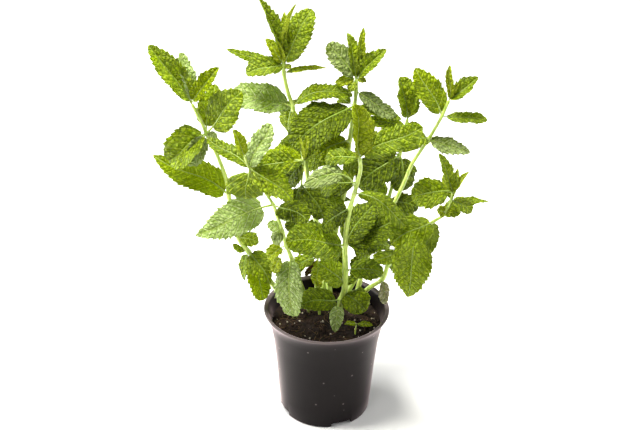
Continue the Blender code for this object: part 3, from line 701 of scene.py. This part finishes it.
shoots["rightLowShoot"] = dict(
    node="shoot_right_low", thick=(4.4, 2.0), foot=(24, 11), lean=-56,
    path=[
        (33, 10, 108), (46, 6, 122), (50, 3, 138), (57, -2, 157), (70, -9, 175), (84, -14, 190),
        (92, -16, 198), (96, -18, 212), (97, -19, 220),
    ],
    leaves=[
        (9, -12, -4, 35, 11, 1, 20, -75, 1, "mid", 0.5), (9, 3, 3, 19, 6, 1, 10, 10, 1, "young"),
        (9, 11, 0, 18, 5, 1, 10, 40, 1, "young"), (8, 3, -4, 24, 9, 1, 20, 105, 1, "mid"),
        (8, 30, 0, -1, 10, 0, 0, 15, 2, "mid heart"), (8, 16, -8, -7, 14, 3, 0, 15, 2, "mid blunt"),
        (9, -33, -6, -2, 26, 4, 0, -35, 5, "mid round", 0, 1.3),
        (7, 12, -6, 5, 11, 3, 0, 35, 1, "mid blunt"), (7, -6, -4, 3, 6, 1, 0, 0, 1, "young"),
        (7, 8, -6, 16, 10, 1, 10, 75, 1, "young"),
        (6, -34, -12, -15, 28, 5, 0, -30, 3, "mid blunt", 0, 1.3), (6, -1, 6, -33, 14, 4, 0, 0, 3, "deep"),
        (5, -4, -9, -56, 33, 8, 0, -20, 4, "mid heart", 0.9, 1.2),
        (3, 7, 4, -4, 11, 1, 0, 45, 1, "pale blunt"), (2, 3, -8, -20, 10, 2, 20, 20, 2, "withered"),
        (7, -7, -6, 7, 10, 2, 0, -55, 3, "young blunt"), (8, -7, 4, 20, 7, 1, 0, -30, 3, "young"),
        (4, -18, 4, -16, 16, 3, 0, -100, 3, "mid blunt"),
    ],
)
shoots["innerShoot"] = dict(
    node="shoot_inner", thick=(2.2, 1.2), foot=(-14, 20), lean=0,
    path=[(-9, 16, 108), (-8, 8, 140), (-6, 5, 153)],
    leaves=[
        (2, -27, -4, -11, 17, 3, 0, -20, 3, "mid", 0.1),
        (2, 1, -6, -26, 12, 2, 0, 35, 2, "young blunt", 0.5), (3, -12, -4, 1, 7, 1, 0, -10, 1, "young"),
        (2, -10, 2, -20, 7, 1, 0, -110, 2, "brown"),
    ],
)
shoots["seedlingShoot"] = dict(
    node="seedling", thick=(1.6, 1.0), foot=(24, -22), lean=0,
    path=[(25, -21, 95)],
    leaves=[
        (1, -10, -2, 1, 6, 1, 0, -10, 1, "lit"), (1, 13, -3, 1, 7, 1, 0, 10, 1, "lit"),
    ],
)


def leanAt(shoot, point):
    return shoot["lean"] * (point.z - uprightTo) / leanHeight


def movedBack(point, depth):
    away = point - eye
    return eye + away * (1 + depth / away.y)


def jointsOf(shoot):
    x, y = shoot["foot"]
    return [Vector((x, y, uprightTo))] + [Vector(point) for point in shoot["path"]]


# lit and deep are a brighter and a darker finish, given to leaves by how much light they catch: painted light
# and painted shade beside the leaves' own colour
finishes = dict(  # dark and bright green, veins, lower face, light let through, bloom (partly a painted sheen), how green its rib is
    mid=("#415300", "#9db210", "#c4d444", "#a6b834", "#b8cc00", 0.1, 0.5),
    pale=("#647c24", "#adbe7a", "#dae6a4", "#b8c86c", "#bed42c", 0.5, 0.15),
    grey=("#3c4d03", "#98a95b", "#c0ce84", "#a8b666", "#9eb020", 0.5, 0.4),
    deep=("#263500", "#7a8e0b", "#9cb02c", "#80942c", "#849400", 0.04, 0.85),
    lit=("#536700", "#9fb200", "#c8d838", "#a8b81c", "#c0d200", 0.03, 0.4),
    young=("#677a00", "#b2c01f", "#d2de50", "#b8c638", "#ccda00", 0.05, 0.15),
    low=("#354500", "#8a9f10", "#aabc2c", "#94a438", "#98ac00", 0.05, 0.8),
    brown=("#3a2614", "#7c5c30", "#8c7040", "#6c4e2a", "#5a3c18", 0.0, 1.0),
    withered=("#8d8a6a", "#c4c0a4", "#d6d2ba", "#b9b598", "#b8b070", 0.3, 0.3),
)
bloomAndSheenColour = "#c4d890"


def bladeMaterial(finish, face):
    # mint leaf: wax over a quilted, finely haired skin; painted light makes its domes pale and painted shade
    # keeps its furrows deep
    material, tree, shader = newMaterial(f"{finish} mint leaf, {face} face")
    low, high, vein, under, through = (linear(colour) for colour in finishes[finish][:5])
    bloomShare = finishes[finish][5]
    if face == "lower":
        low = high = under
    furrowPaintedShade, veinShade, roughness, specular, veinRelief, furrowRelief = blade["faces"][face]
    place = addNode(tree, "Attribute", {}, "Vector", attribute_name="bladePlace")
    tone = addNode(tree, "Attribute", {}, "Fac", attribute_name="bladeTone")
    rise = addNode(tree, "Attribute", {}, "Fac", attribute_name="bladeRise")
    along, across, spacing = addNode(tree, "SeparateXYZ", [place]).node.outputs
    solid = addNode(tree, "TexCoord", {}, "Object")
    toRib = addNode(tree, "Math", [across], operation="ABSOLUTE")
    toSide = addNode(tree, "Math", [along, 0.5], operation="PINGPONG")
    toSide = addNode(tree, "Math", [toSide, spacing], operation="MULTIPLY")
    # the blade in mm: along the rib, out from it, and a slice of its own for each leaf
    ownSlice = addNode(tree, "Math", [tone, 40.0], operation="MULTIPLY")
    lengthwise = addNode(tree, "Math", [along, spacing], operation="MULTIPLY")
    lengthwise = addNode(tree, "Math", [toRib, blade["veinSlant"], lengthwise], operation="MULTIPLY_ADD")
    flat = addNode(tree, "CombineXYZ", [lengthwise, across, ownSlice])
    # quilting: small domes between the finest veins
    cell = {"Vector": flat, "Scale": blade["cellScale"]}
    dome = addNode(tree, "TexVoronoi", cell, feature="SMOOTH_F1")
    dome = addNode(tree, "Math", [1.0, dome], operation="SUBTRACT")
    toCellEdge = addNode(tree, "TexVoronoi", cell, feature="DISTANCE_TO_EDGE")
    patches = addNode(tree, "TexNoise", {"Vector": solid, "Scale": 190, "Detail": 4, "Roughness": 0.6})
    # full on a vein or furrow and none beyond it: distance, full to, none from, strength
    masks = ((toCellEdge, 0.02, 0.2, 1.0), (toSide, 0.15, 0.6, 2.4), (toRib, 0.15, 0.7, 0.7))
    furrow, veins, midVein = (
        addNode(tree, "MapRange", [*mask, 0], interpolation_type="SMOOTHSTEP") for mask in masks
    )
    veins = addNode(tree, "Math", [veins, patches], operation="MULTIPLY")
    net = addNode(tree, "Math", [midVein, veins], operation="MAXIMUM")
    # green: painted light, brighter on the domes and where the blade bulges; random mottle and each leaf's
    # tone also shift it
    shade = addNode(tree, "Math", [dome, 0.4], operation="MULTIPLY")
    for part, weight in ((patches, 0.9), (rise, 0.12), (tone, 0.35)):
        shade = addNode(tree, "Math", [part, weight, shade], operation="MULTIPLY_ADD")
    patch = addNode(tree, "MapRange", [shade, 0.4, 1.0])
    # painted shade: the furrows between the domes are darkened towards the dark green, more on the upper face
    paintedFurrowShade = addNode(tree, "Math", [furrow, furrowPaintedShade], operation="MULTIPLY")
    # bloom: fine hairs and wax grey the leaf in large soft patches, 13 mm wide, heaviest on the domes, where
    # it is also a painted sheen
    broad = addNode(tree, "TexNoise", {"Vector": solid, "Scale": 75, "Detail": 2})
    broad = addNode(tree, "Math", [rise, 0.3, broad], operation="MULTIPLY_ADD")
    bloomAndPaintedSheen = addNode(tree, "MapRange", [broad, 0.55, 0.9, 0, bloomShare])
    veined = addNode(tree, "Math", [net, veinShade], operation="MULTIPLY")
    base = low
    for share, colour in ((patch, high), (paintedFurrowShade, low), (bloomAndPaintedSheen, linear(bloomAndSheenColour)), (veined, vein)):
        base = addNode(tree, "Mix", {0: share, 6: base, 7: colour}, 2, data_type="RGBA")
    # relief: domes between the finest veins, which sink on the upper face and stand out below
    grain = addNode(tree, "TexNoise", {"Vector": solid, "Scale": 900, "Detail": 2})
    height = dome
    for part, weight in ((grain, 0.3), (net, veinRelief), (patches, 1.0), (furrow, furrowRelief)):
        height = addNode(tree, "Math", [part, weight, height], operation="MULTIPLY_ADD")
    bump = addNode(tree, "Bump", {"Height": height, "Strength": 1.0, "Distance": 2.0 * mm})
    setInputs(tree, shader, {
        "Base Color": base, "Roughness": roughness, "IOR": 1.42, "Specular IOR Level": specular,
        "Sheen Weight": bloomShare * 0.15, "Sheen Roughness": 0.45, "Sheen Tint": linear("#e6f0d8"),
        "Normal": bump,
    })
    # light from behind comes through yellow-green
    glow = addNode(tree, "Mix", {0: veined, 6: through, 7: vein}, 2, data_type="RGBA")
    glow = addNode(tree, "BsdfTranslucent", {"Color": glow, "Normal": bump})
    mixed = addNode(tree, "MixShader", [blade["through"], shader.outputs["BSDF"], glow])
    tree.links.new(mixed, tree.nodes["Material Output"].inputs["Surface"])
    return material


def stemMaterial():
    # young mint stem: pale green, streaked and lightly ribbed along its length; midribs are a leaf's green
    material, tree, shader = newMaterial("fresh mint stem")
    leafy = addNode(tree, "Attribute", {}, "Fac", attribute_name="bladeTone")
    solid = addNode(tree, "TexCoord", {}, "Object")
    long = addNode(tree, "Mapping", {"Vector": solid, "Scale": (1, 1, 0.12)})
    streaks = addNode(tree, "TexNoise", {"Vector": long, "Scale": 700, "Detail": 3})  # 1.4 mm wide
    pale = addNode(tree, "ValToRGB", [streaks])
    for stop, share, shade in zip(pale.node.color_ramp.elements, (0.3, 0.7), stem["streaks"]):
        stop.position, stop.color = share, linear(shade)
    green = addNode(tree, "Mix", {0: leafy, 6: pale, 7: linear(stem["ribGreen"])}, 2, data_type="RGBA")
    bump = addNode(tree, "Bump", {"Height": streaks, "Strength": 0.5, "Distance": 0.3 * mm})
    setInputs(tree, shader, {
        "Base Color": green, "Roughness": 0.45, "Sheen Weight": 0.2, "Normal": bump, "Subsurface Weight": 0.3,
        "Subsurface Radius": (0.6, 1.0, 0.2), "Subsurface Scale": 1.0 * mm,
    })
    return material


def smoothPath(points, count):
    # points along a curve through the joints, evenly spaced, with each joint's place along it
    controls = [np.array(p) for p in points]
    controls = [2 * controls[0] - controls[1]] + controls + [2 * controls[-1] - controls[-2]]
    fine, marks = [], [0]
    for i in range(1, len(controls) - 2):
        p0, p1, p2, p3 = controls[i - 1 : i + 3]
        for share in np.linspace(0, 1, 24, endpoint=False):
            squared = (2 * p0 - 5 * p1 + 4 * p2 - p3) * (share * share)
            cubed = (3 * p1 - p0 - 3 * p2 + p3) * share**3
            fine.append(0.5 * (2 * p1 + (p2 - p0) * share + squared + cubed))
        marks.append(len(fine))
    fine = np.array(fine + [controls[-2]])
    lengths = np.concatenate([[0], np.cumsum(np.linalg.norm(np.diff(fine, axis=0), axis=1))])
    wanted = np.linspace(0, lengths[-1], count)
    line = np.stack([np.interp(wanted, lengths, fine[:, k]) for k in range(3)], 1)
    return line, wanted, lengths[marks]


def framesAlong(line, start):
    # a side and an upper direction at each point, carried along without twisting
    tangents = np.gradient(line, axis=0)
    tangents /= np.linalg.norm(tangents, axis=1)[:, None]
    side = np.array(start, float)
    sides = []
    for tangent in tangents:
        side = side - tangent * side.dot(tangent)
        side /= np.linalg.norm(side)
        sides.append(side)
    sides = np.array(sides)
    return sides, np.cross(tangents, sides)


def rodModel(name, sides, rings):
    # a cylinder cut across into rings, to be bent and sized in code
    bpy.ops.mesh.primitive_cylinder_add(vertices=sides, radius=1, depth=2, end_fill_type="NGON")
    rod = added(name)
    toMode("EDIT")
    bpy.ops.mesh.select_mode(type="EDGE")
    bpy.ops.mesh.select_all(action="DESELECT")
    toMode("OBJECT")
    points = pointsOf(rod)
    for edge in rod.data.edges:
        a, b = edge.vertices
        edge.select = bool(abs(points[a, 2] - points[b, 2]) > 1)
    toMode("EDIT")
    bpy.ops.mesh.subdivide(number_cuts=rings - 1)
    toMode("OBJECT")
    return rod


def bentRod(rod, line, sides, uppers, radii, square=0.0, drop=None):
    # lays a rod along a line, rounded or with four soft corners
    points = pointsOf(rod)
    marks = np.arange(len(line))
    ring = np.clip((points[:, 2] + 1) / 2 * marks[-1], 0, marks[-1])

    def at(values):  # a direction or place for each of the rod's points, from those of the line
        return np.stack([np.interp(ring, marks, column) for column in values.T], 1)

    angle = np.arctan2(points[:, 1], points[:, 0])
    flat = np.hypot(points[:, 0], points[:, 1])[:, None]
    radius = np.interp(ring, marks, radii) * (1 + square * np.cos(4 * angle))
    centre = at(line)
    if drop is not None:
        centre = centre - at(uppers) * np.interp(ring, marks, drop)[:, None]
    out = at(sides) * np.cos(angle)[:, None] + at(uppers) * np.sin(angle)[:, None]
    setPoints(rod, (centre + out * radius[:, None] * flat + np.array(potAxis)) * mm)


def makeStem(name, shoot, material):
    x, y = shoot["foot"]
    points = [Vector((x, y, stemBottom))] + [movedBack(p, leanAt(shoot, p)) for p in jointsOf(shoot)]
    total = sum((b - a).length for a, b in zip(points, points[1:]))
    rings = max(8, int(total * stem["ringsPerMm"]))
    line, places, marks = smoothPath(points, rings + 1)
    sides, uppers = framesAlong(line, (1, 0, 0))
    atFoot, atTip = shoot["thick"]
    radii = (atFoot + (atTip - atFoot) * places / places[-1]) / 2
    for joint in {leaf[0] for leaf in shoot["leaves"]}:
        swell = stem["nodeSwell"] * np.exp(-(((places - marks[joint + 1]) / stem["nodeLength"]) ** 2))
        radii = radii * (1 + swell)
    tip = (places[-1] - places) / atTip
    radii = radii * np.sqrt(np.clip(tip * 2, 0.05, 1))
    rod = rodModel(name + "Stem", stem["sides"], rings)
    bentRod(rod, line, sides, uppers, radii, stem["corner"])
    setAttribute(rod, "bladeTone", np.zeros(len(rod.data.vertices)))
    rod.data.materials.append(material)
    return rod


bladeModels = {}


def bladeModel(columns, rows):  # a flat sheet with that many columns and rows, made once for each size
    if (columns, rows) not in bladeModels:
        bpy.ops.mesh.primitive_grid_add(x_subdivisions=columns, y_subdivisions=rows, size=2)
        bladeModels[columns, rows] = added(f"sheet{columns}x{rows}")
    return bladeModels[columns, rows]


def outlineAt(share, rise, fall):
    peak = (rise / (rise + fall)) ** rise * (fall / (rise + fall)) ** fall
    return share**rise * (1 - share) ** fall / peak


def leafAxes(shoot, joint, tip, turn):
    # where a leaf starts, its reach, its upper and side directions and its length, moved back with its shoot
    start = jointsOf(shoot)[joint]
    depth = leanAt(shoot, start)
    root = movedBack(start, depth)
    reach = movedBack(start + Vector(tip), depth) - root
    along = reach.normalized()
    top = (Vector((0, 0, 1)) - along * along.z).normalized()
    across = along.cross(top)
    angle = math.radians(turn)
    top = top * math.cos(angle) + across * math.sin(angle)
    return *(np.array(v) for v in (root, reach, top, along.cross(top))), reach.length


def makeLeaf(name, shoot, number, materials, ribModel, dice):
    joint, tipX, tipY, tipZ, width, bend, fold, turn, stalk, look, *extra = shoot["leaves"][number]
    finish, outline = (look + " oval").split()[:2]
    toneShift, quilting, toothing = extra + [0, 1, 1][len(extra) :]
    root, reach, top, across, length = leafAxes(shoot, joint, (tipX, tipY, tipZ), turn)
    bow, curl, twist = (blade[k] * dice.uniform(-1, 1) for k in ("bow", "tipCurl", "twist"))

    def ribAt(share):  # points, directions and normals along the bent rib
        share = np.asarray(share)[:, None]
        arch = 4 * share * (1 - share)
        slope = 4 * (1 - 2 * share)
        sway = length * bow * np.sin(2 * math.pi * share)
        point = root + reach * share + top * bend * arch + across * sway - top * length * abs(curl) * share**4
        ahead = reach + top * bend * slope + across * length * bow * 2 * math.pi * np.cos(2 * math.pi * share)
        ahead = ahead - top * length * abs(curl) * 4 * share**3
        ahead = ahead / np.linalg.norm(ahead, axis=1)[:, None]
        normal = np.cross(across, ahead)
        return point, ahead, normal / np.linalg.norm(normal, axis=1)[:, None]

    bladeLength = length - stalk
    first = stalk / length
    columns, perTooth = next((c, p) for longer, c, p in blade["grids"] if bladeLength > longer)
    teeth = int(min(blade["mostTeeth"], max(4, round(bladeLength / blade["toothEvery"]))))
    steps = np.linspace(0.14, 1, perTooth)
    sheet = copyOf(bladeModel(columns, teeth * perTooth), f"{name}Blade{number}")
    points = pointsOf(sheet)
    # teeth: each is a short rise along the edge that ends in a point
    row = np.rint((points[:, 1] + 1) / 2 * teeth * perTooth).astype(int)
    tooth, step = np.divmod(np.maximum(row - 1, 0), perTooth)
    within = np.where(row == 0, 1.0, steps[step])  # place within a tooth, 1 at its point
    share = np.where(row == 0, 0.0, (tooth + steps[step]) / teeth)
    side = np.sign(points[:, 0]) * (1 - (1 - np.abs(points[:, 0])) ** 1.25)
    edge = np.abs(side)

    size = min(1.0, width / blade["fullQuilt"])
    rise, fall = blade["outlines"][outline]
    smooth = width / 2 * outlineAt(share, rise, fall)
    outer = smoothStep(edge, blade["toothZone"], 1.0)
    notch = (1 - within**1.3) * outer
    bite = np.random.default_rng(dice.randrange(1 << 30)).uniform(*blade["toothSpread"], (teeth + 1, 2))
    toothHeight = blade["toothHeight"] * toothing * min(1.0, width / blade["fullTeeth"])
    toothHeight = toothHeight * bite[tooth, (side > 0).astype(int)]
    toothed = smooth + toothHeight * (0.35 - notch) * smoothStep(1 - share, 0, 0.15)
    half = np.maximum(blade["tipHalfWidth"], toothed)
    x = side * half
    ahead = blade["toothLean"] * toothHeight * (0.4 * outer - notch) * (1 - share)

    # side veins, and the quilting between them
    veins = max(4.0, bladeLength / blade["veinEvery"])
    spacing = bladeLength / veins
    fromFoot = share * bladeLength - blade["veinSlant"] * np.abs(x) - blade["veinCurve"] * x * x
    phase = fromFoot / spacing + np.where(x < 0, 0.5, 0.15)
    ends = np.minimum(1, share * 6) * np.minimum(1, (1 - share) * 6)
    uneven = valueNoise(x * 2.0, share * bladeLength * 2.0, 6.5, number)
    crossVeins = np.abs(x) / blade["cellEvery"] + 0.6 * uneven + 0.5 * np.rint(phase)
    cells = np.abs(np.sin(math.pi * crossVeins)) ** 0.6
    domes = 0.35 + 0.65 * np.abs(np.sin(math.pi * (phase + 0.12 * uneven))) ** 0.6
    plump = (0.25 * domes + 0.75 * domes * cells + 0.25 * uneven) * smoothStep(np.abs(x), 0, 1.2)
    quilt = quilting * blade["quilt"] * size * (plump - 0.35)
    lift = quilt * smoothStep(1 - edge, 0, 0.25) * ends
    lift = lift - blade["groove"] * size * np.exp(-((x / 0.9) ** 2)) * np.sqrt(1 - share)
    lift = lift + side * blade["wave"] * width * np.sin(blade["waveTurns"] * share + number) * ends
    ripple = np.sin(teeth * share * 2.6 + number * 2 + np.where(side < 0, 1.7, 0))
    lift = lift + blade["ripple"] * size * edge**3 * ripple * ends
    droop = blade["droop"] if fold < 15 else 0
    lift = lift - droop * size * edge**2 * smooth / (width / 2)
    # the sheet is folded, twisted and laid along its rib
    centre, forward, normal = ribAt(first + (1 - first) * share)
    folded = math.radians(fold + blade["baseFold"])
    lift = lift + edge * half * math.sin(folded)
    turned = math.radians(twist) * (2 * share - 1)
    flat = x * math.cos(folded)
    flat, lift = flat * np.cos(turned) - lift * np.sin(turned), flat * np.sin(turned) + lift * np.cos(turned)
    placed = centre + across * flat[:, None] + normal * lift[:, None] + forward * ahead[:, None]
    setPoints(sheet, (placed + np.array(potAxis)) * mm)
    tone = toneShift + dice.uniform(-blade["toneSpread"], blade["toneSpread"])
    setAttribute(sheet, "bladePlace", np.stack([phase, x, np.full_like(x, spacing)], 1), "FLOAT_VECTOR")
    setAttribute(sheet, "bladeTone", np.full(len(x), tone))
    setAttribute(sheet, "bladeRise", plump)
    for material in materials[finish]:
        sheet.data.materials.append(material)
    solid = sheet.modifiers.new("thickness", "SOLIDIFY")
    solid.thickness = blade["thickness"] * mm
    solid.offset = -1
    solid.use_rim = True
    solid.material_offset = 1
    applyAll(sheet)

    # the midrib, with the stalk as its thick end
    place = np.linspace(0, stem["ribEnd"], stem["ribRings"] + 1)
    line, _, normal = ribAt(place)
    thick = max(0.4, min(1.0, width / blade["fullRib"]))
    radii = np.interp(place, [0, first, 1], [1.1 * thick, 0.85 * thick, 0.16 * thick])
    drop = radii * np.interp(place, [first * 0.8, first + 0.1, 0.5, 1], [0, 0.7, 1.1, 1.6])
    rib = copyOf(ribModel, f"{name}Rib{number}")
    bentRod(rib, line, np.repeat(across[None], len(line), 0), normal, radii, 0, drop)
    setAttribute(rib, "bladeTone", np.full(len(rib.data.vertices), finishes[finish][-1]))
    rib.data.materials.append(materials["stem"])
    return [sheet, rib]


def makeShoot(name, shoot, materials, ribModel, dice):
    pieces = [makeStem(name, shoot, materials["stem"])]
    for number in range(len(shoot["leaves"])):
        pieces += makeLeaf(name, shoot, number, materials, ribModel, dice)
    made = joined(pieces, name)
    makeActive(made)
    bpy.ops.object.shade_smooth()
    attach(made, "root")
    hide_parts(shoot["node"])
    print(name, "made:", len(made.data.polygons), "faces")


leafMaterials = {finish: [bladeMaterial(finish, face) for face in blade["faces"]] for finish in finishes}
leafMaterials["stem"] = stemMaterial()
ribModel = rodModel("ribModel", stem["ribSides"], stem["ribRings"])
shootDice = random.Random(blade["seed"])
for shootName, shoot in shoots.items():
    makeShoot(shootName, shoot, leafMaterials, ribModel, shootDice)
for model in [ribModel, *bladeModels.values()]:
    bpy.data.objects.remove(model)
